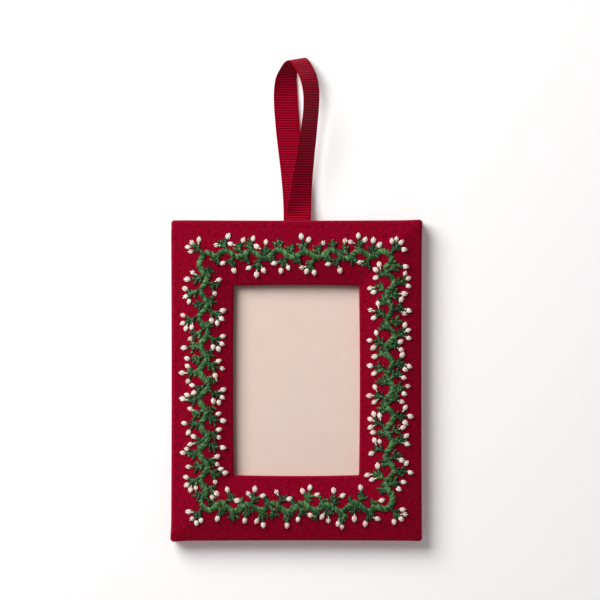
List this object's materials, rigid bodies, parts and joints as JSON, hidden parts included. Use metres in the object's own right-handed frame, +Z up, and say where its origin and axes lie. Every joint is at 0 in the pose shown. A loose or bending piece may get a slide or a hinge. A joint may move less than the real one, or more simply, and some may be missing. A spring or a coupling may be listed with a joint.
{
  "type": "picture frame ornament",
  "caption": "Cloth-covered hanging picture frame with an embroidered vine-and-bud border, a rectangular photo window and a ribbon loop.",
  "frame": {"origin": "the inside of the top of the ribbon loop, which the ornament hangs from", "axes": "+Z up, +X across the frame, and the front faces -Y"},
  "size_m": [0.097, 0.0131, 0.1871],
  "materials": {
    "red_linen": "woven",
    "backing_linen": "woven",
    "green_thread": "satin stitch",
    "cream_thread": "satin stitch",
    "batting": "soft",
    "greyboard": "matt",
    "clear_film": "clear",
    "blush_card": "matt",
    "grosgrain": "ribbed"
  },
  "bodies": {
    "root": {"front_cloth": "red_linen", "vine_stitching": "green_thread", "bud_stitching": "cream_thread", "padding": "batting", "front_board": "greyboard", "clear_sheet": "clear_film", "photo_card": "blush_card", "channel_spacer": "greyboard", "back_board": "greyboard", "back_cloth": "backing_linen", "ribbon": "grosgrain"}
  },
  "joints": []
}
